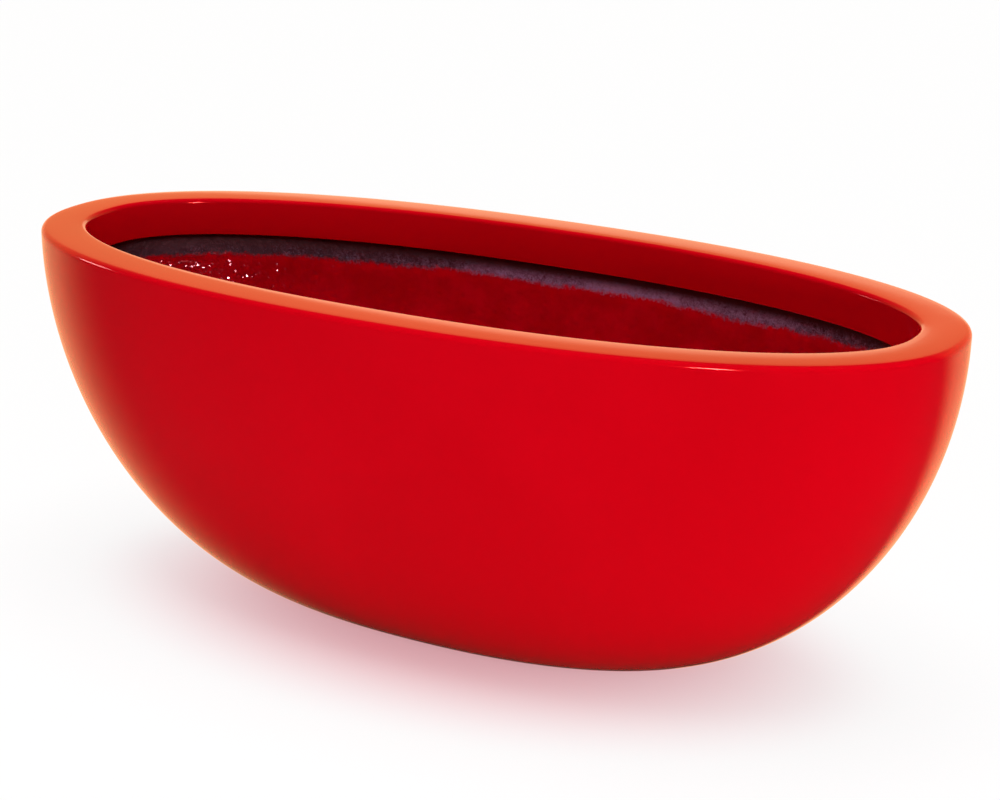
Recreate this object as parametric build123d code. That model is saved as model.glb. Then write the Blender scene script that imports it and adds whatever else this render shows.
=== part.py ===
from build123d import *
from math import cos, radians, sin
import os

# An oval planter bowl in moulded glass-fibre laminate, in millimetres.
# +Z is up, +X runs along the long axis, and the origin is on the floor under the middle.

# Overall size
length = 1000.0
width = 450.0
height = 375.0

# Outline and side curve. A power of 2 is an ellipse, and a larger one is squarer.
plan_power = 2.24
base_length = 355.0
base_width = 160.0
end_power = 1.99
side_power = 1.77

# Laminate
wall = 5.0
floor_thickness = 5.0

# Rim collar: a flat rim with a lip that turns down inside the bowl
rim_width = 47.0
collar_skin = 4.5
outer_edge_radius = 6.0
inner_edge_radius = 5.0
lip_depth = 39.0
lip_lean = 4.5
lip_edge_chamfer = 1.2
seam_drop = 9.0
spigot_depth = 18.0
spigot_thickness = 3.0
bond_gap = 0.6

# Mat strip that ties the collar to the wall
strip_thickness = 2.0
strip_height = 52.0
strip_top_gap = 3.0
strip_clearance = 0.3

# Base: a foot ring round a raised middle, with extra laminate on top of it
foot_ring_width = 30.0
recess_depth = 3.0
recess_draft = 3.0
doubler_thickness = 4.0
doubler_margin = 4.0
doubler_draft = 3.0

# Drain holes and their rubber plugs
drain_end_distance = 87.5
drain_diameter = 25.0
plug_clearance = 0.1
plug_flange_diameter = 38.0
plug_flange_thickness = 3.0
plug_flange_chamfer = 1.0
plug_stem_past_floor = 1.0
plug_stem_chamfer = 0.8
plug_grip_diameter = 12.0
plug_grip_height = 13.0
plug_neck_height = 5.0
plug_grip_waist = 2.0

# Rubber pads under the foot ring
pad_diameter = 20.0
pad_thickness = 2.0
pad_chamfer = 0.4
pad_bearing = 52.0

# How finely the curves are laid out
points_per_quarter = 6
side_steps = 8

# Levels that follow from the sizes above
shell_top = height - seam_drop
inner_floor = pad_thickness + floor_thickness
raised_floor = inner_floor + recess_depth
plug_seat = raised_floor + doubler_thickness
recess_ceiling = pad_thickness + recess_depth


def outline_point(half_length, half_width, inset, bearing):
    """Point of the oval at a bearing in degrees, moved inwards square to the curve."""
    across = cos(radians(bearing))
    along = sin(radians(bearing))
    side_x = 1 if across > 0 else -1
    side_y = 1 if along > 0 else -1
    share_x = abs(across) ** (2 / plan_power)
    share_y = abs(along) ** (2 / plan_power)
    normal = Vector(
        side_x * share_x ** (plan_power - 1) / half_length,
        side_y * share_y ** (plan_power - 1) / half_width,
    ).normalized()
    return Vector(side_x * share_x * half_length, side_y * share_y * half_width) - normal * inset


def oval(half_length, half_width, inset, level):
    """Flat oval face at a level, from four spline quarters."""
    shares = [step / points_per_quarter for step in range(points_per_quarter + 1)]
    quarters = []
    for start in (0, 90, 180, 270):
        ends = [Vector(0, 1).rotate(Axis.Z, start), Vector(0, 1).rotate(Axis.Z, start + 90)]
        points = [outline_point(half_length, half_width, inset, start + 90 * share) for share in shares]
        quarters.append(Edge.make_spline(points, tangents=ends, parameters=shares))
    return Pos(0, 0, level) * Face(Wire(quarters))


def rim_block(inset, low_level, high_level):
    """Upright solid that lies inside the rim's outline by an inset, between two levels."""
    return extrude(oval(length / 2, width / 2, inset, low_level), high_level - low_level)


def base_block(low_inset, low_level, high_inset, high_level):
    """Solid between two ovals that lie inside the base's outline by their insets."""
    low = oval(base_length / 2, base_width / 2, low_inset, low_level)
    high = oval(base_length / 2, base_width / 2, high_inset, high_level)
    return loft([low, high], ruled=True)


def hull(side_skin, floor_skin):
    """The bowl's full round body, as far inside its outer face as the two skins say."""
    bottom = pad_thickness + floor_skin
    sections = []
    for step in range(side_steps + 1):
        rise = 1 - cos(radians(90 * step / side_steps))
        end_swell = (1 - (1 - rise) ** end_power) ** (1 / end_power)
        side_swell = (1 - (1 - rise) ** side_power) ** (1 / side_power)
        half_length = (base_length + (length - base_length) * end_swell) / 2
        half_width = (base_width + (width - base_width) * side_swell) / 2
        inset = side_skin * (end_swell + side_swell) / 2
        sections.append(oval(half_length, half_width, inset, bottom + (shell_top - bottom) * rise))
    return loft(sections)


def layer(low_level, high_level):
    """Slab wider than the bowl, between two levels."""
    slab = Box(2 * length, 2 * width, high_level - low_level)
    return Pos(0, 0, (low_level + high_level) / 2) * slab


def drain_centres():
    """Centres of the two drain holes in plan, each at its distance from the base's end."""
    reach = base_length / 2 - drain_end_distance
    return [Pos(side * reach, 0, 0) for side in (-1, 1)]


def drain_cutters():
    """Round cutters through the whole floor at the drain holes."""
    cutter = Pos(0, 0, plug_seat / 2) * Cylinder(drain_diameter / 2, 2 * plug_seat)
    return [centre * cutter for centre in drain_centres()]


def make_bowl_shell(cavity):
    """Moulded wall and floor, with a foot ring round the raised middle."""
    shell = hull(0, 0) - cavity
    step_inset = foot_ring_width - wall
    shell += base_block(step_inset, pad_thickness, step_inset + recess_draft, raised_floor)
    shell -= base_block(foot_ring_width, pad_thickness, foot_ring_width + recess_draft, recess_ceiling)
    return shell - drain_cutters()


def make_rim_collar():
    """Flat rim and turned-down lip, with a spigot inside the wall, swept round the outline."""
    lip_back = rim_width - collar_skin
    spigot_front = wall + bond_gap
    spigot_back = spigot_front + spigot_thickness
    corners = [
        (0, 0),
        (rim_width, 0),
        (rim_width + lip_lean, -lip_depth),
        (lip_back + lip_lean, -lip_depth),
        (lip_back + lip_lean * collar_skin / lip_depth, -collar_skin),
        (spigot_back, -collar_skin),
        (spigot_back, -seam_drop - spigot_depth),
        (spigot_front, -seam_drop - spigot_depth),
        (spigot_front, -seam_drop),
        (0, -seam_drop),
    ]
    section = make_face(Polyline(corners, close=True))
    for corner, radius in zip(corners, (outer_edge_radius, inner_edge_radius)):
        section = fillet(section.vertices().sort_by_distance(corner)[0], radius)
    for corner in corners[2:4]:
        section = chamfer(section.vertices().sort_by_distance(corner)[0], lip_edge_chamfer)
    rim_end = Plane(origin=(length / 2, 0, height), x_dir=(-1, 0, 0), z_dir=(0, 1, 0))
    outline = oval(length / 2, width / 2, 0, height).outer_wire()
    return sweep(rim_end * section, path=outline)


def make_rim_strip(cavity):
    """Mat strip laid over the joint, from the spigot down the inside of the wall."""
    spigot_back = wall + bond_gap + spigot_thickness
    face_inset = spigot_back + strip_thickness
    low = shell_top - spigot_depth
    strip = cavity & layer(low - strip_height, low)
    strip += rim_block(spigot_back + strip_clearance, low, height - collar_skin - strip_top_gap)
    return strip - rim_block(face_inset, low - strip_height - 1, height)


def make_floor_doubler():
    """Extra laminate on the raised middle of the floor, where the drain holes are."""
    low_inset = foot_ring_width - wall + recess_draft + doubler_margin
    doubler = base_block(low_inset, raised_floor, low_inset + doubler_draft, plug_seat)
    return doubler - drain_cutters()


def make_drain_plug():
    """Rubber plug: a stem that fills the hole, a flange that seals and a grip."""
    stem_radius = drain_diameter / 2 - plug_clearance
    flange_top = plug_seat + plug_flange_thickness
    stem_foot = recess_ceiling - plug_stem_past_floor
    stem = Pos(0, 0, (stem_foot + flange_top) / 2) * Cylinder(stem_radius, flange_top - stem_foot)
    stem = chamfer(stem.edges().sort_by(Axis.Z)[0], plug_stem_chamfer)
    flange = Cylinder(plug_flange_diameter / 2, plug_flange_thickness)
    flange = Pos(0, 0, plug_seat + plug_flange_thickness / 2) * flange
    flange = chamfer(flange.edges().group_by(Axis.Z)[-1], plug_flange_chamfer)
    neck_radius = plug_grip_diameter / 2 - plug_grip_waist
    neck = Pos(0, 0, flange_top + plug_grip_height / 2) * Cylinder(neck_radius, plug_grip_height)
    knob_height = plug_grip_height - plug_neck_height
    knob = Cylinder(plug_grip_diameter / 2, knob_height)
    knob = chamfer(knob.edges().group_by(Axis.Z)[-1] + knob.edges().group_by(Axis.Z)[0], plug_grip_waist / 2)
    knob = Pos(0, 0, flange_top + plug_grip_height - knob_height / 2) * knob
    return stem + flange + neck + knob


def make_foot_pads():
    """Four rubber pads stuck under the middle of the foot ring."""
    pad = Pos(0, 0, pad_thickness / 2) * Cylinder(pad_diameter / 2, pad_thickness)
    pad = chamfer(pad.edges().sort_by(Axis.Z)[0], pad_chamfer)
    pads = []
    for bearing in (pad_bearing, 180 - pad_bearing, 180 + pad_bearing, 360 - pad_bearing):
        centre = outline_point(base_length / 2, base_width / 2, foot_ring_width / 2, bearing)
        pads.append(Pos(centre.X, centre.Y, 0) * pad)
    return Compound(children=pads)


def main():
    """Write one file for each sub-part."""
    os.makedirs("parts", exist_ok=True)
    cavity = hull(wall, floor_thickness)
    plug = make_drain_plug()
    left_hole, right_hole = drain_centres()
    pieces = {
        "bowl_shell": make_bowl_shell(cavity),
        "rim_collar": make_rim_collar(),
        "rim_strip": make_rim_strip(cavity),
        "floor_doubler": make_floor_doubler(),
        "drain_plug_left": left_hole * plug,
        "drain_plug_right": right_hole * plug,
        "foot_pads": make_foot_pads(),
    }
    for name, piece in pieces.items():
        export_step(piece, f"parts/{name}.step")


if __name__ == "__main__":
    main()
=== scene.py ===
import math

import bmesh
import bpy
from mathutils import Matrix, Vector, noise


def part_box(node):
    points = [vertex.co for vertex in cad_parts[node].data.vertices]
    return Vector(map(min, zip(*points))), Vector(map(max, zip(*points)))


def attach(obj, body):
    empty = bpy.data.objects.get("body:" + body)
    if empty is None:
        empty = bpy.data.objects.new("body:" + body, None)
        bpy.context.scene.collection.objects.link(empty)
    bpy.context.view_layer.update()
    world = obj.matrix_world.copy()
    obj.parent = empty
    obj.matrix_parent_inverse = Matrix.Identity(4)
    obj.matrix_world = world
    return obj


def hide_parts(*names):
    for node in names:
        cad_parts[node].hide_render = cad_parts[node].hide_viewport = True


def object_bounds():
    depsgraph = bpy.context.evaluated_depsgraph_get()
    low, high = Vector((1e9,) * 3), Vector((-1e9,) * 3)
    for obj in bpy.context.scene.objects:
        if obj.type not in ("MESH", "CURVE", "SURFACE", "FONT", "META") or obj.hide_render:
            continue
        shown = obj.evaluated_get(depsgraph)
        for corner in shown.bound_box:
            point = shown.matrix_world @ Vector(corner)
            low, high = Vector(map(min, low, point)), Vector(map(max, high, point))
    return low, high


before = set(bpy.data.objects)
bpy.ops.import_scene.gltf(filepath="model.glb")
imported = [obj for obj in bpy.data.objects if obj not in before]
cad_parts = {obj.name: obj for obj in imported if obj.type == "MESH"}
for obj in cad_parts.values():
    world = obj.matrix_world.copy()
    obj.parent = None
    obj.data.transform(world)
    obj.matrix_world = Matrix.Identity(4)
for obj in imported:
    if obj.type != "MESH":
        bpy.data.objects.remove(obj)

cadLow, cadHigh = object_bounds()
print("frame loaded")


# Sizes that the pieces share, in metres
bowl = {
    "halfLength": cadHigh.x,
    "halfWidth": cadHigh.y,
    "top": cadHigh.z,
    "foot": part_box("bowl_shell")[0][2],
    "shellTop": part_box("bowl_shell")[1][2],
    "baseHalfLength": 0.1775,
    "baseHalfWidth": 0.080,
    "planPower": 2.24,      # 2 is an ellipse, larger is squarer
    "endPower": 1.99,       # side curve at the two ends
    "sidePower": 1.77,      # side curve at the long sides
    "segments": 400,        # around the oval
    "sharpAngle": 32,       # edges that turn further than this, in degrees, stay sharp
}


def ovalPoint(halfLength, halfWidth, inset, bearing):
    # point of the oval at a bearing, moved inwards square to the curve
    across, along = math.cos(bearing), math.sin(bearing)
    power = bowl["planPower"]
    shareX, shareY = abs(across) ** (2 / power), abs(along) ** (2 / power)
    sideX, sideY = math.copysign(1, across), math.copysign(1, along)
    normal = Vector((sideX * shareX ** (power - 1) / halfLength, sideY * shareY ** (power - 1) / halfWidth))
    return Vector((sideX * shareX * halfLength, sideY * shareY * halfWidth)) - normal.normalized() * inset


class OvalSweep:
    # a mesh that grows ring by ring, each ring extruded from the one before

    def __init__(self, halfLength, halfWidth, inset, level, segments=bowl["segments"]):
        self.mesh = bmesh.new()
        self.bearing = self.mesh.verts.layers.float.new("bearing")
        self.material = 0       # slot of the faces that are made next
        verts = bmesh.ops.create_circle(self.mesh, segments=segments, radius=1)["verts"]
        for vert in verts:
            vert[self.bearing] = math.atan2(vert.co.y, vert.co.x)
        self.edges = self.firstEdges = self.mesh.edges[:]
        self.place(verts, halfLength, halfWidth, inset, level)

    def place(self, verts, halfLength, halfWidth, inset, level):
        for vert in verts:
            vert.co = (*ovalPoint(halfLength, halfWidth, inset, vert[self.bearing]), level)

    def ring(self, halfLength, halfWidth, inset, level):
        grown = bmesh.ops.extrude_edge_only(self.mesh, edges=self.edges)["geom"]
        verts = [item for item in grown if isinstance(item, bmesh.types.BMVert)]
        newVerts = set(verts)
        self.edges = [item for item in grown if isinstance(item, bmesh.types.BMEdge)
                      and item.verts[0] in newVerts and item.verts[1] in newVerts]
        self.paint(grown)
        self.place(verts, halfLength, halfWidth, inset, level)
        return verts

    def fillRound(self, edges, holes):
        # flat face inside a ring, with the holes' edges left open
        self.paint(bmesh.ops.triangle_fill(self.mesh, edges=edges + holes, use_beauty=True)["geom"])

    def paint(self, made):
        for item in made:
            if isinstance(item, bmesh.types.BMFace):
                item.material_index = self.material

    def join(self):
        bmesh.ops.bridge_loops(self.mesh, edges=self.firstEdges + self.edges)


def addPiece(name, mesh, body, *materials):
    # a finished bmesh becomes an object at the origin that rides on its body
    bmesh.ops.recalc_face_normals(mesh, faces=mesh.faces[:])
    data = bpy.data.meshes.new(name)
    mesh.to_mesh(data)
    mesh.free()
    for material in materials:
        data.materials.append(material)
    data.polygons.foreach_set("use_smooth", [True] * len(data.polygons))
    data.set_sharp_from_angle(angle=math.radians(bowl["sharpAngle"]))
    piece = bpy.data.objects.new(name, data)
    bpy.context.scene.collection.objects.link(piece)
    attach(piece, body)
    return piece


# Shader maths: a socket that can be added, multiplied and compared
class Signal:
    def __init__(self, tree, socket):
        self.tree = tree
        self.socket = socket

    def math(self, operation, *others):
        return self.tree.node("ShaderNodeMath", dict(enumerate((self, *others))), operation=operation)

    def __add__(self, other):
        return self.math("ADD", other)

    __radd__ = __add__

    def __sub__(self, other):
        return self.math("SUBTRACT", other)

    def __rsub__(self, other):
        return self.tree.node("ShaderNodeMath", {0: other, 1: self}, operation="SUBTRACT")

    def __mul__(self, other):
        return self.math("MULTIPLY", other)

    __rmul__ = __mul__

    def __truediv__(self, other):
        return self.math("DIVIDE", other)

    def between(self, low, high):
        # 0 below low, 1 above high, smooth in between
        inputs = {"Value": self, "From Min": low, "From Max": high}
        return self.tree.node("ShaderNodeMapRange", inputs, interpolation_type="SMOOTHSTEP")


class Tree:
    # the nodes of one material or world, made one call at a time

    def __init__(self, nodeTree, coordinate):
        self.nodes = nodeTree.nodes
        self.links = nodeTree.links
        self.place = self.node("ShaderNodeTexCoord", output=coordinate)

    def node(self, kind, inputs=None, output=0, **settings):
        made = self.nodes.new(kind)
        for name, value in settings.items():
            setattr(made, name, value)
        for name, value in (inputs or {}).items():
            self.feed(made.inputs[name], value)
        return Signal(self, made.outputs[output])

    def feed(self, socket, value):
        if isinstance(value, Signal):
            self.links.new(value.socket, socket)
        else:
            socket.default_value = value

    def axis(self, index):
        return self.node("ShaderNodeSeparateXYZ", {"Vector": self.place}, index)

    def vector(self, operation, *inputs, output="Vector"):
        return self.node("ShaderNodeVectorMath", dict(enumerate(inputs)), output, operation=operation)

    def blend(self, share, first, second):
        # colour mix
        return self.node("ShaderNodeMix", {0: share, 6: first, 7: second}, 2, data_type="RGBA")

    def mixShader(self, share, first, second):
        return self.node("ShaderNodeMixShader", {0: share, 1: first, 2: second})

    def isRay(self, kind):
        # 1 for rays of this kind, 0 for the rest
        return self.node("ShaderNodeLightPath", output=f"Is {kind} Ray")

    def facing(self, place, direction, low, high):
        # 1 where a place or direction lies the way that is asked for, 0 where it doesn't
        return self.vector("DOT_PRODUCT", place, direction, output="Value").between(low, high)


class Finish(Tree):
    # one material, with its Principled shader and the patterns that feed it

    def __init__(self, name):
        self.material = bpy.data.materials.new(name)
        self.material.use_nodes = True
        super().__init__(self.material.node_tree, "Object")
        self.shader = self.nodes["Principled BSDF"]

    def set(self, **inputs):
        # baseColor feeds the input Base Color, and so on
        for name, value in inputs.items():
            words = "".join(" " + letter if letter.isupper() else letter for letter in name)
            self.feed(self.shader.inputs["IOR" if name == "ior" else words[0].upper() + words[1:]], value)

    def noise(self, scale, detail=2.0, roughness=0.5, distortion=0.0):
        # scale is lumps to the metre, and the patterns below are given in this order
        inputs = {"Vector": self.place, "Scale": scale, "Detail": detail, "Roughness": roughness,
                  "Distortion": distortion}
        return self.node("ShaderNodeTexNoise", inputs)

    def cells(self, scale):
        # distance to the middle of the nearest cell
        return self.node("ShaderNodeTexVoronoi", {"Vector": self.place, "Scale": scale})

    def bump(self, height, distance=1.0):
        return self.node("ShaderNodeBump", {"Height": height, "Distance": distance})


def shade(red, green, blue):
    # a colour as it reads on screen, from 0 to 255, as the shader wants it: the sRGB curve undone
    parts = [value / 255 for value in (red, green, blue)]
    return (*[part / 12.92 if part <= 0.04045 else ((part + 0.055) / 1.055) ** 2.4 for part in parts], 1)


# Gelcoat: the high-gloss red outside, rim and lip
gelcoat = {
    "red": shade(214, 1, 20),
    "deepRed": shade(204, 1, 17),
    "clouds": (2.5, 3),             # pattern of the deeper red
    "cloudEdge": (0.35, 0.65),
    "tint": (1.0, 0.06, 0.05, 1),   # mirror images seen straight on are red, at a low angle clear
    "ior": 1.45,
    "roughness": 0.07,
    "dullest": 0.04,                # what the dullest spots add to the roughness
    "dullSpots": (9, 4),
    "waviness": 0.00003,            # height of the surface's waves
    "waves": (55, 2),
}


def makeGelcoat():
    finish = Finish("redGelcoat")
    clouds = finish.noise(*gelcoat["clouds"]).between(*gelcoat["cloudEdge"])
    finish.set(
        baseColor=finish.blend(clouds, gelcoat["red"], gelcoat["deepRed"]),
        roughness=gelcoat["roughness"] + gelcoat["dullest"] * finish.noise(*gelcoat["dullSpots"]),
        normal=finish.bump(finish.noise(*gelcoat["waves"]), gelcoat["waviness"]),
        ior=gelcoat["ior"],
        specularTint=gelcoat["tint"],
    )
    return finish.material


# Inside: red paint sprayed over rough chopped mat, which stays bare behind and just under the lip, with the
# lip's shadow painted on the bare mat close under it
inside = {
    "red": shade(248, 4, 50),
    "darkRed": shade(226, 3, 38),
    "patches": (20, 4, 0.6),        # pattern of the darker red and of the paler mat
    "patchEdge": (0.35, 0.65),
    "tint": (1.0, 0.35, 0.42, 1),
    "ior": 1.45,
    "roughness": 0.09,
    "bareRoughness": 0.45,          # what the bare mat adds to it
    "patchRoughness": 0.06,         # and what the patches add
    "paintEdge": bowl["top"] - 0.071,
    "paintBlur": 0.0035,
    # how far the paint's edge strays, and the pattern that it follows
    "wander": [(0.018, (7, 2)), (0.007, (60, 5, 0.6)), (0.010, (240, 3, 0.7))],
    "bare": shade(24, 44, 62),
    "barePale": shade(180, 208, 244),
    "paleness": 0.77,
    "strandContrast": 1.9,
    "patchContrast": 1.3,
    "palest": (0.06, 0.32),         # where along the bowl the bare mat is painted lightest, a painted pool of light, and how far that spreads
    "paleFall": 0.55,               # how much lighter it is painted there than at that distance
    # painted shadow: the near-black painted on the bare mat close under the lip, where the lip shades it
    "shadow": shade(12, 7, 10),
    "shadowEdge": bowl["top"] - 0.0575,     # above this, close under the lip, the bare mat is painted near-black: a painted shadow of the lip
    "shadowFade": (0.011, 0.0015),          # the painted shadow fades in from so far below it to so far above
    "shadowWander": 0.15,           # how much of the paint edge's wandering the painted shadow follows
    "lumps": 0.0012,                # height of the lumps under the paint
    "lumpPattern": (120, 1.5),
    "strands": 0.0007,              # height of the bare mat's strands
    "strandPattern": (260, 6, 0.7, 1.2),
    "grain": 0.00006,               # what shows of the strands under the paint
    "beads": 0.0012,                # slope of the beads of resin that catch the light, as height to a cell
    "beadGrain": 130,               # beads to the metre
    "beadRadius": 0.42,             # as a share of the bead's cell
}


def makeInside():
    finish = Finish("paintedMat")
    level = finish.axis(2)
    wander = sum(reach * (finish.noise(*pattern) - 0.5) for reach, pattern in inside["wander"])
    edge, blur = inside["paintEdge"], inside["paintBlur"]
    bareShare = (level - wander).between(edge - blur, edge + blur)
    strands = finish.noise(*inside["strandPattern"])
    patches = finish.noise(*inside["patches"])
    # painted light: the bare mat is painted paler towards the middle of the bowl and darker towards both
    # ends, as the light falls; strands and patches add its real grain
    centre, spread = inside["palest"]
    offPaintedLight = ((finish.axis(0) - centre) / spread).math("ABSOLUTE")
    contrast = (strands - 0.5) * inside["strandContrast"] + (patches - 0.5) * inside["patchContrast"]
    strandsAndPaintedLight = contrast - inside["paleFall"] * offPaintedLight + inside["paleness"]
    bare = finish.blend(strandsAndPaintedLight.between(0, 1), inside["bare"], inside["barePale"])
    # painted shadow of the lip, darkening the bare mat close under it
    shadowEdge, (below, above) = inside["shadowEdge"], inside["shadowFade"]
    paintedShadowShare = (level - wander * inside["shadowWander"]).between(shadowEdge - below, shadowEdge + above)
    bare = finish.blend(paintedShadowShare, bare, inside["shadow"])
    red = finish.blend(patches.between(*inside["patchEdge"]), inside["red"], inside["darkRed"])
    bead = (inside["beadRadius"] - finish.cells(inside["beadGrain"])).math("MAXIMUM", 0) * (1 - bareShare)
    height = finish.noise(*inside["lumpPattern"]) * inside["lumps"] + bead * inside["beads"]
    height += strands * (inside["strands"] * bareShare + inside["grain"])
    roughness = inside["roughness"] + inside["bareRoughness"] * bareShare + inside["patchRoughness"] * patches
    finish.set(
        baseColor=finish.blend(bareShare, red, bare),
        roughness=roughness,
        normal=finish.bump(height),
        ior=inside["ior"],
        specularTint=inside["tint"],
    )
    return finish.material


# Bare laminate of the doubler on the floor, with the colours of the bare mat
laminate = {
    "roughness": 0.45,
    "dullest": 0.2,
    "dullSpots": (60, 4),
    "strandPattern": (230, 6, 0.7, 1.2),
    "strandEdge": (0.25, 0.75),
    "lumps": 0.0010,
}


def makeLaminate():
    finish = Finish("bareLaminate")
    strands = finish.noise(*laminate["strandPattern"])
    lumps = finish.noise(*inside["lumpPattern"])
    finish.set(
        baseColor=finish.blend(strands.between(*laminate["strandEdge"]), inside["bare"], inside["barePale"]),
        roughness=laminate["roughness"] + laminate["dullest"] * finish.noise(*laminate["dullSpots"]),
        normal=finish.bump(lumps * laminate["lumps"] + strands * inside["strands"]),
    )
    return finish.material


# Rubber of the plugs and pads
rubber = {
    "black": shade(26, 26, 27),
    "dusty": shade(44, 43, 43),
    "dust": (90, 4),
    "roughness": 0.55,
    "dullest": 0.2,
    "dullSpots": (140, 3),
    "poreDepth": 0.00006,
    "pores": (900, 2),
}


def makeRubber():
    finish = Finish("blackRubber")
    finish.set(
        baseColor=finish.blend(finish.noise(*rubber["dust"]), rubber["black"], rubber["dusty"]),
        roughness=rubber["roughness"] + rubber["dullest"] * finish.noise(*rubber["dullSpots"]),
        normal=finish.bump(finish.noise(*rubber["pores"]), rubber["poreDepth"]),
    )
    return finish.material


redGelcoat = makeGelcoat()
paintedMat = makeInside()
bareLaminate = makeLaminate()
blackRubber = makeRubber()
print("materials made")


# Drain holes, where the plugs stand
def middle(node):
    # middle of a node's box in plan, on the bowl's long axis
    low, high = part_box(node)
    return (low[0] + high[0]) / 2, 0


drains = {
    "centres": [middle(node) for node in ("drain_plug_left", "drain_plug_right")],
    "radius": 0.0125,
    "segments": 48,
}


def holeEdges(mesh, level):
    # the rims of both holes at a level
    edges = []
    for centre in drains["centres"]:
        made = bmesh.ops.create_circle(mesh, segments=drains["segments"], radius=drains["radius"],
                                       matrix=Matrix.Translation((*centre, level)))
        edges.append(list({edge for vert in made["verts"] for edge in vert.link_edges}))
    return edges


def openHoles(sweep, bottomHoles, topHoles):
    for low, high in zip(bottomHoles, topHoles):
        bmesh.ops.bridge_loops(sweep.mesh, edges=low + high)


# Bowl shell: outside, top edge, inner wall and floor in one closed skin
shell = {
    "wall": 0.005,
    "floor": 0.005,
    "outerRings": 56,
    "innerRings": 120,
    "recess": 0.003,
    "recessDraft": 0.003,
    "footRing": 0.030,
    "matLift": 0.0007,      # a lump of the mat stands off the inner wall by this, times its own noise
    "matGrain": 85,         # lumps to the metre
    "matOctaves": 3,
    "matBias": 0.5,         # added to that noise, so that few parts of the wall are flat
    "matRise": 6,           # how quickly the lumps grow, from none at the wall's foot to their full height
}


def swell(rise, power):
    return (1 - (1 - rise) ** power) ** (1 / power)


def hullRing(rise, sideSkin, floorSkin):
    # sizes of the body's oval at a share of its height
    endSwell, sideSwell = swell(rise, bowl["endPower"]), swell(rise, bowl["sidePower"])
    bottom = bowl["foot"] + floorSkin
    halfLength = bowl["baseHalfLength"] + (bowl["halfLength"] - bowl["baseHalfLength"]) * endSwell
    halfWidth = bowl["baseHalfWidth"] + (bowl["halfWidth"] - bowl["baseHalfWidth"]) * sideSwell
    inset = sideSkin * (endSwell + sideSwell) / 2
    return halfLength, halfWidth, inset, bottom + (bowl["shellTop"] - bottom) * rise


def rises(rings):
    return [1 - math.cos(math.pi / 2 * step / rings) for step in range(rings + 1)]


def roughen(verts, share):
    # lumps of the mat: points move into the bowl, never into the wall
    for vert in verts:
        lump = noise.fractal(vert.co * shell["matGrain"], 1.0, 2.0, shell["matOctaves"])
        push = shell["matLift"] * max(0, shell["matBias"] + lump)
        reach = Vector((vert.co.x, vert.co.y, 0))
        vert.co -= reach.normalized() * push * share


def makeShell():
    base = (bowl["baseHalfLength"], bowl["baseHalfWidth"])
    floorLevel = bowl["foot"] + shell["floor"]
    step = shell["footRing"] - shell["wall"]
    sweep = OvalSweep(*base, shell["footRing"] + shell["recessDraft"], bowl["foot"] + shell["recess"])
    bottomHoles = holeEdges(sweep.mesh, bowl["foot"] + shell["recess"])
    sweep.fillRound(sweep.edges, sum(bottomHoles, []))
    sweep.ring(*base, shell["footRing"], bowl["foot"])
    for rise in rises(shell["outerRings"]):
        sweep.ring(*hullRing(rise, 0, 0))
    innerRises = rises(shell["innerRings"])
    sweep.ring(*hullRing(1, shell["wall"], shell["floor"]))
    sweep.material = 1      # from here on the inside
    for rise in reversed(innerRises[:-1]):
        roughen(sweep.ring(*hullRing(rise, shell["wall"], shell["floor"])), min(1, rise * shell["matRise"]))
    for inset in (step / 2, step):
        sweep.ring(*base, inset, floorLevel)
    sweep.ring(*base, step + shell["recessDraft"], floorLevel + shell["recess"])
    topHoles = holeEdges(sweep.mesh, floorLevel + shell["recess"])
    sweep.fillRound(sweep.edges, sum(topHoles, []))
    openHoles(sweep, bottomHoles, topHoles)
    return addPiece("bowlShell", sweep.mesh, "bowl", redGelcoat, paintedMat)


bowlShell = makeShell()
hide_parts("bowl_shell")
print("shell made", len(bowlShell.data.polygons))


# Rim collar: the flat rim and its lip, as one section carried round the oval
collar = {
    "rim": 0.047,
    "skin": 0.0045,
    "outerRadius": 0.006,
    "innerRadius": 0.005,
    "footRadius": 0.0012,
    "crown": 0.0005,        # how far the flat rim falls to its two edges
    "crownSteps": (0.25, 0.375, 0.5, 0.625, 0.75),  # shares of the rim's width
    "lipDepth": 0.039,
    "lipLean": 0.0045,
    "lipSteps": (0.012, 0.022, 0.032),              # drops at which the lip has a ring
    "seam": bowl["top"] - bowl["shellTop"],
    "spigotFront": 0.0056,
    "spigotBack": 0.0086,
    "spigotDepth": 0.018,
    "arcSteps": 8,
    "footSteps": 4,
}


def corner(centre, radius, start, end, steps):
    # points of a round corner in the section, angles in degrees
    turns = [math.radians(start + (end - start) * step / steps) for step in range(steps + 1)]
    return [(centre[0] + radius * math.cos(turn), centre[1] + radius * math.sin(turn)) for turn in turns]


def collarSection():
    # (inset, drop) of the section's points, from the seam over the rim and down the lip
    size = collar
    rim, skin, seam = size["rim"], size["skin"], size["seam"]
    lean = size["lipLean"] / size["lipDepth"]
    outer, inner, foot = size["outerRadius"], size["innerRadius"], size["footRadius"]
    frontFoot, footLevel = rim + size["lipLean"], size["lipDepth"] - foot
    top = corner((outer, outer), outer, 180, 270, size["arcSteps"])
    top += [(rim * share, 0) for share in size["crownSteps"]]
    top += corner((rim - inner, inner), inner, -90, 0, size["arcSteps"])
    points = [(0, seam)]
    points += [(inset, drop + size["crown"] * (2 * inset / rim - 1) ** 2) for inset, drop in top]
    points += [(rim + drop * lean, drop) for drop in size["lipSteps"]]
    points += corner((frontFoot - foot, footLevel), foot, 0, 90, size["footSteps"])
    points += corner((frontFoot - skin + foot, footLevel), foot, 90, 180, size["footSteps"])
    points += [(rim - skin + lean * skin, skin)]
    points += [(size["spigotBack"], skin), (size["spigotBack"], seam + size["spigotDepth"])]
    points += [(size["spigotFront"], seam + size["spigotDepth"]), (size["spigotFront"], seam)]
    return points


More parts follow.
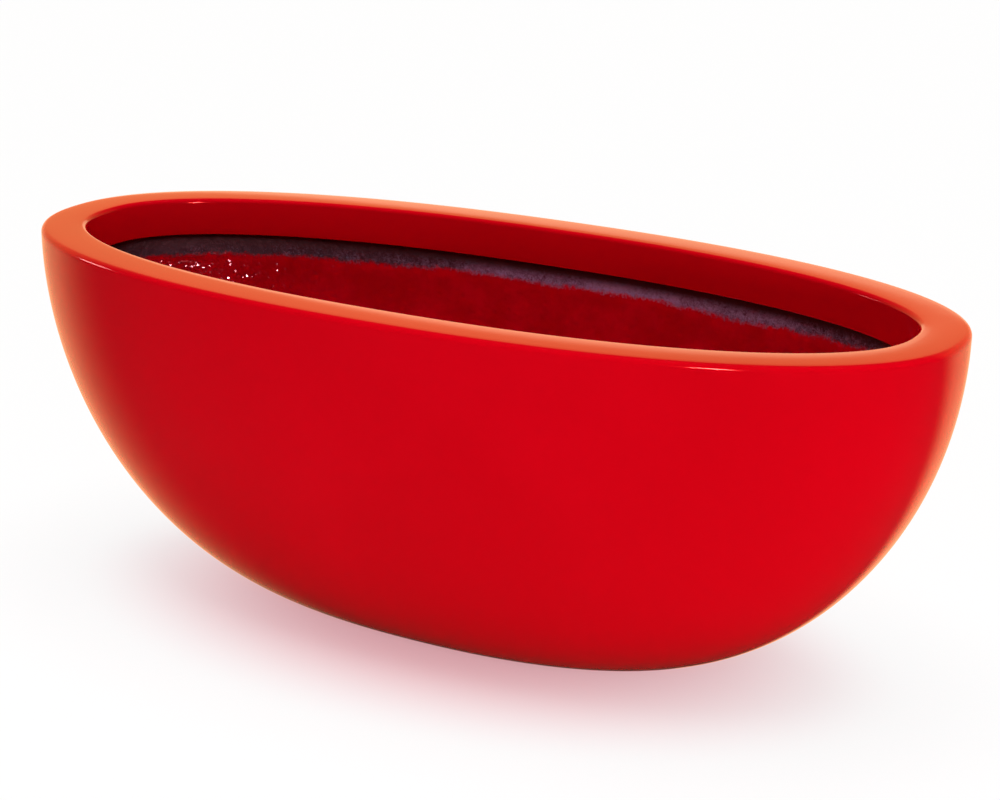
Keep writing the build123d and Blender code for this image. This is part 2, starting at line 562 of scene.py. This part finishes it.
def makeCollar():
    oval = (bowl["halfLength"], bowl["halfWidth"])
    points = collarSection()
    sweep = OvalSweep(*oval, points[0][0], bowl["top"] - points[0][1])
    for inset, drop in points[1:]:
        sweep.ring(*oval, inset, bowl["top"] - drop)
    sweep.join()
    return addPiece("rimCollar", sweep.mesh, "bowl", redGelcoat)


rimCollar = makeCollar()
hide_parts("rim_collar")
print("collar made", len(rimCollar.data.polygons))


# Mat strip over the joint: a ring that feathers out down the wall
strip = {
    "low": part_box("rim_strip")[0][2],
    "high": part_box("rim_strip")[1][2],
    "spigotFoot": bowl["top"] - collar["seam"] - collar["spigotDepth"],
    "back": 0.0089,
    "front": 0.0106,
    "feather": 0.0006,      # thickness left at the lower edge
    "wallGap": 0.0002,      # between the strip and the wall
    "shoulderRise": 0.0005,     # its shoulder climbs this far from the wall to its back
    "clearance": 0.0003,    # taken off its thickness at the top
    "rings": 26,
}


def makeStrip():
    oval = (bowl["halfLength"], bowl["halfWidth"])
    bottom = bowl["foot"] + shell["floor"]

    def wallRing(level, lift):
        rise = (level - bottom) / (bowl["shellTop"] - bottom)
        return hullRing(rise, shell["wall"] + lift, shell["floor"])

    levels = [strip["low"] + (strip["spigotFoot"] - strip["low"]) * step / strip["rings"]
              for step in range(strip["rings"] + 1)]
    thickest = strip["front"] - shell["wall"] - strip["clearance"]
    sweep = OvalSweep(*oval, strip["back"], strip["spigotFoot"] + strip["shoulderRise"])
    for level in reversed(levels):
        sweep.ring(*wallRing(level, strip["wallGap"]))
    for step, level in enumerate(levels):
        share = step / strip["rings"]
        lift = strip["feather"] + (thickest - strip["feather"]) * share
        roughen(sweep.ring(*wallRing(level, lift)), 1 - share)
    sweep.ring(*oval, strip["front"], strip["high"])
    sweep.ring(*oval, strip["back"], strip["high"])
    sweep.join()
    return addPiece("rimStrip", sweep.mesh, "bowl", paintedMat)


rimStrip = makeStrip()
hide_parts("rim_strip")
print("strip made", len(rimStrip.data.polygons))


# Doubler: extra mat on the raised middle of the floor
doubler = {
    "inset": 0.032,
    "draft": 0.003,
    "low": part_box("floor_doubler")[0][2],
    "high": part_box("floor_doubler")[1][2],
    "edgeRadius": 0.0012,
    "edgeMiddle": (0.0004, 0.0003),     # a point of the round edge: how far in, and how far down
    "segments": 200,
}


def makeDoubler():
    base = (bowl["baseHalfLength"], bowl["baseHalfWidth"])
    low, high, radius = doubler["low"], doubler["high"], doubler["edgeRadius"]
    height = high - low
    topInset = doubler["inset"] + doubler["draft"]
    sweep = OvalSweep(*base, doubler["inset"], low, doubler["segments"])
    bottomHoles = holeEdges(sweep.mesh, low)
    sweep.fillRound(sweep.edges, sum(bottomHoles, []))
    sideShare = 1 - radius / height
    inwards, down = doubler["edgeMiddle"]
    sweep.ring(*base, doubler["inset"] + doubler["draft"] * sideShare, low + height * sideShare)
    sweep.ring(*base, topInset + inwards, high - down)
    sweep.ring(*base, topInset + radius, high)
    topHoles = holeEdges(sweep.mesh, high)
    sweep.fillRound(sweep.edges, sum(topHoles, []))
    openHoles(sweep, bottomHoles, topHoles)
    return addPiece("floorDoubler", sweep.mesh, "bowl", bareLaminate)


floorDoubler = makeDoubler()
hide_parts("floor_doubler")
print("doubler made", len(floorDoubler.data.polygons))


# Rubber pieces are turned: a profile of (radius, level) spun about an upright axis
def turned(mesh, profile, centre, steps):
    verts = [mesh.verts.new((centre[0] + radius, centre[1], level)) for radius, level in profile]
    edges = [mesh.edges.new(pair) for pair in zip(verts, verts[1:])]
    bmesh.ops.spin(mesh, geom=verts + edges, cent=(*centre, 0), axis=(0, 0, 1), angle=math.tau,
                   steps=steps, use_merge=True)
    bmesh.ops.remove_doubles(mesh, verts=mesh.verts[:], dist=0.000001)


plug = {
    "foot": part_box("drain_plug_left")[0][2],
    "top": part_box("drain_plug_left")[1][2],
    "seat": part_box("floor_doubler")[1][2],
    "stem": 0.0124,
    "stemEdge": 0.0008,
    "flange": 0.019,
    "flangeHeight": 0.003,
    "flangeEdge": (0.0013, 0.0012),     # how far the round edge reaches in and down
    "neck": 0.004,
    "neckFillet": 0.0016,
    "soft": 0.0004,         # how far the middle of a round edge stands from its corner
    "knob": 0.006,
    "knobLow": 0.008,       # above the seat
    "knobFullness": 0.6,    # 1 is round, less is fuller
    "knobTurns": range(-60, 90, 15),    # angles up the knob's side that have a point, in degrees
    "segments": 64,
}


def plugProfile():
    size = plug
    foot, seat, top = size["foot"], size["seat"], size["top"]
    stem, flange, neck, soft = size["stem"], size["flange"], size["neck"], size["soft"]
    flangeTop, knobLow = seat + size["flangeHeight"], seat + size["knobLow"]
    inwards, down = size["flangeEdge"]
    points = [(0, foot), (stem - size["stemEdge"], foot)]
    points += [(stem - soft / 2, foot + soft / 2), (stem, foot + size["stemEdge"])]
    points += [(stem, seat), (flange, seat)]
    points += [(flange, flangeTop - down), (flange - soft, flangeTop - soft), (flange - inwards, flangeTop)]
    points += [(neck + size["neckFillet"], flangeTop), (neck + soft, flangeTop + soft)]
    points += [(neck, flangeTop + size["neckFillet"]), (neck, knobLow)]
    level, half = (top + knobLow) / 2, (top - knobLow) / 2
    for turn in size["knobTurns"]:
        lean = math.radians(turn)
        points.append((size["knob"] * math.cos(lean) ** size["knobFullness"], level + half * math.sin(lean)))
    return points + [(0, top)]


plugNames = (("plugLeft", "drain_plug_left", "left_plug"), ("plugRight", "drain_plug_right", "right_plug"))
for (name, node, body), centre in zip(plugNames, drains["centres"]):
    mesh = bmesh.new()
    turned(mesh, plugProfile(), centre, plug["segments"])
    plugPiece = addPiece(name, mesh, body, blackRubber)
    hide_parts(node)


# Four pads under the foot ring
pads = {"radius": 0.010, "high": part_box("foot_pads")[1][2], "edge": 0.0004, "segments": 40}


def makePads():
    radius, high, edge = pads["radius"], pads["high"], pads["edge"]
    reach = [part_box("foot_pads")[1][axis] - radius for axis in (0, 1)]
    mesh = bmesh.new()
    profile = [(0, 0), (radius - edge, 0), (radius, edge), (radius, high), (0, high)]
    turned(mesh, profile, reach, pads["segments"])
    for scale in ((-1, 1, 1), (1, -1, 1)):
        copied = bmesh.ops.duplicate(mesh, geom=mesh.verts[:] + mesh.edges[:] + mesh.faces[:])["geom"]
        copiedVerts = [item for item in copied if isinstance(item, bmesh.types.BMVert)]
        bmesh.ops.scale(mesh, vec=scale, verts=copiedVerts)
    return addPiece("footPads", mesh, "bowl", blackRubber)


footPads = makePads()
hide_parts("foot_pads")
print("plugs and pads made")


# Studio: pale floor, white surroundings, and a warm wall behind the bowl that shows only in the gloss
studio = {
    "floorSize": 14,
    "floorColor": (0.93, 0.915, 0.91, 1),
    "floorRoughness": 0.7,
    "glowNear": (1.0, 0.52, 0.57, 1),       # painted pink bounce light from the red bowl: the floor's colour for the camera at the bowl's foot
    "glowFar": (1, 1, 1, 1),
    "glowStretch": (2.0, 3.3, 0),           # it fades with the distance times this
    "glowFade": (0.25, 0.95),
    "glowShare": (0.58, 0.88),              # how much of it shows, at the foot and far away
    "surround": 0.05,                       # plain light from all round
    "room": (0.06, 0.045, 0.03, 1),         # what the gloss sees where there is no warm wall
    "floorMirror": 0.97,                    # share of room and wall in what the gloss sees of the floor
    "wall": (-0.40, 0.917, 0),              # direction of the warm wall
    "wallSpread": (0.15, 0.5),              # it fades in between these cosines of the angle from there
    "wallFoot": (0.25, -0.02, 0),           # the floor is warm as well, on the wall's side of this place
    "wallLow": (1.6, 0.72, 0.33, 1),        # the wall's colour at the floor
    "wallHigh": (1.15, 0.60, 0.20, 1),      # and higher up
    "wallFade": (0.0, 0.24),                # between these sines of the angle above the floor
    "wallTop": (0.35, 0.75),                # and it fades out between these
    "panel": (-0.407, 0.9135, 0),           # direction of a brighter panel low on the wall
    "panelColor": (1.75, 1.20, 0.62, 1),
    "panelSpread": (0.955, 0.965),          # cosines and sines, as for the wall
    "panelTop": (0.24, 0.32),
}


def floorSurface(finish):
    # lit floor and plain backdrop for the camera, with painted pink bounce light near the bowl's foot; warm
    # wall side and dim room for the gloss
    stretched = finish.vector("MULTIPLY", finish.place, studio["glowStretch"])
    away = finish.vector("LENGTH", stretched, output="Value").between(*studio["glowFade"])
    # painted bounce light: pink near the bowl's foot, fading to the white backdrop far away
    backdropAndPaintedBounce = finish.blend(away, studio["glowNear"], studio["glowFar"])
    plain = finish.node("ShaderNodeEmission", {"Color": backdropAndPaintedBounce})
    fromFoot = finish.vector("SUBTRACT", finish.place, studio["wallFoot"])
    warm = finish.facing(finish.vector("NORMALIZE", fromFoot), studio["wall"], *studio["wallSpread"])
    roomAndWall = finish.blend(warm, studio["room"], studio["wallLow"])
    mirrored = finish.node("ShaderNodeEmission", {"Color": roomAndWall})
    nearShare, farShare = studio["glowShare"]
    plainShare = finish.isRay("Camera") * (nearShare + (farShare - nearShare) * away)
    lit = Signal(finish, finish.shader.outputs[0])
    shown = finish.mixShader(plainShare, lit, plain)
    return finish.mixShader(finish.isRay("Glossy") * studio["floorMirror"], shown, mirrored)


def makeFloor():
    mesh = bmesh.new()
    bmesh.ops.create_grid(mesh, x_segments=1, y_segments=1, size=studio["floorSize"])
    data = bpy.data.meshes.new("floor")
    mesh.to_mesh(data)
    mesh.free()
    floor = bpy.data.objects.new("floor", data)
    bpy.context.scene.collection.objects.link(floor)
    finish = Finish("paleFloor")
    finish.set(baseColor=studio["floorColor"], roughness=studio["floorRoughness"])
    finish.feed(finish.nodes["Material Output"].inputs["Surface"], floorSurface(finish))
    data.materials.append(finish.material)


def makeWorld():
    world = bpy.data.worlds.new("studio")
    bpy.context.scene.world = world
    world.use_nodes = True
    sky = Tree(world.node_tree, "Generated")
    plain = sky.node("ShaderNodeBackground", {"Color": (1, 1, 1, 1), "Strength": studio["surround"]})
    white = sky.node("ShaderNodeBackground", {"Color": (1, 1, 1, 1)})
    height = sky.axis(2)
    wall = sky.blend(height.between(*studio["wallFade"]), studio["wallLow"], studio["wallHigh"])
    panelShare = sky.facing(sky.place, studio["panel"], *studio["panelSpread"])
    panelShare *= 1 - height.between(*studio["panelTop"])
    wall = sky.blend(panelShare, wall, studio["panelColor"])
    wallShare = sky.facing(sky.place, studio["wall"], *studio["wallSpread"])
    wallShare *= 1 - height.between(*studio["wallTop"])
    mirrored = sky.node("ShaderNodeBackground", {"Color": sky.blend(wallShare, studio["room"], wall)})
    lit = sky.mixShader(sky.isRay("Glossy"), plain, mirrored)
    shown = sky.mixShader(sky.isRay("Camera"), lit, white)
    sky.feed(sky.nodes["World Output"].inputs["Surface"], shown)


# Lamps: one that is mirrored shows only in the gloss, and the others only light the surfaces
lamps = {
    "overhead": {"kind": "SUN", "place": (0, 0, 3), "target": (0, 0, 0), "energy": 1.01 * math.pi,
                 "angle": math.radians(46)},
    "lowFront": {"kind": "AREA", "place": (2.0, -1.85, 0.36), "target": (0, 0, 0.25), "energy": 28,
                 "shape": "RECTANGLE", "size": 2.0, "size_y": 0.42},
    "coolFill": {"kind": "AREA", "place": (1.2, -2.25, 1.46), "target": (0, 0.2, 0.33), "energy": 7,
                 "shape": "RECTANGLE", "size": 1.0, "size_y": 0.15, "color": (0.10, 0.75, 1.0)},
    "leftSoftbox": {"kind": "AREA", "place": (-2.2, -0.58, 0.85), "target": (0, 0, 0.3), "energy": 4,
                    "mirrored": True, "shape": "RECTANGLE", "size": 0.4, "size_y": 0.2},
    "sparkle": {"kind": "AREA", "place": (0.68, -1.30, 0.98), "target": (-0.4, 0.13, 0.28), "energy": 40,
                "mirrored": True, "shape": "DISK", "size": 0.24},
}


def addLamp(name, kind, place, target, energy, mirrored=False, **settings):
    lamp = bpy.data.lights.new(name, kind)
    lamp.energy = energy
    for setting, value in settings.items():
        setattr(lamp, setting, value)
    holder = bpy.data.objects.new(name, lamp)
    holder.location = place
    holder.rotation_euler = (Vector(target) - Vector(place)).to_track_quat("-Z", "Y").to_euler()
    holder.visible_camera = False
    holder.visible_diffuse = not mirrored
    holder.visible_glossy = mirrored
    bpy.context.scene.collection.objects.link(holder)


makeFloor()
makeWorld()
for name, settings in lamps.items():
    addLamp(name, **settings)


# Camera: where the photograph was taken from, in degrees, metres and millimetres
camera = {
    "azimuth": 28.2986,
    "elevation": 18.1679,
    "roll": 0.9575,
    "distance": 2.2635,
    "aimRight": 0.0284,
    "aimUp": 0.2362,
    "lens": 80.757,
    "sensor": 36,
}


def makeCamera():
    turn, rise, roll = (math.radians(camera[name]) for name in ("azimuth", "elevation", "roll"))
    back = Vector((math.sin(turn) * math.cos(rise), -math.cos(turn) * math.cos(rise), math.sin(rise)))
    right = (-back).cross(Vector((0, 0, 1))).normalized()
    up = right.cross(-back)
    leanRight = right * math.cos(roll) + up * math.sin(roll)
    leanUp = up * math.cos(roll) - right * math.sin(roll)
    data = bpy.data.cameras.new("camera")
    data.lens = camera["lens"]
    data.sensor_width = camera["sensor"]
    holder = bpy.data.objects.new("camera", data)
    place = right * camera["aimRight"] + Vector((0, 0, camera["aimUp"])) + back * camera["distance"]
    holder.matrix_world = Matrix.Translation(place) @ Matrix((leanRight, leanUp, back)).transposed().to_4x4()
    bpy.context.scene.collection.objects.link(holder)
    bpy.context.scene.camera = holder


makeCamera()
bpy.context.scene.view_settings.view_transform = "Standard"
print("studio set")
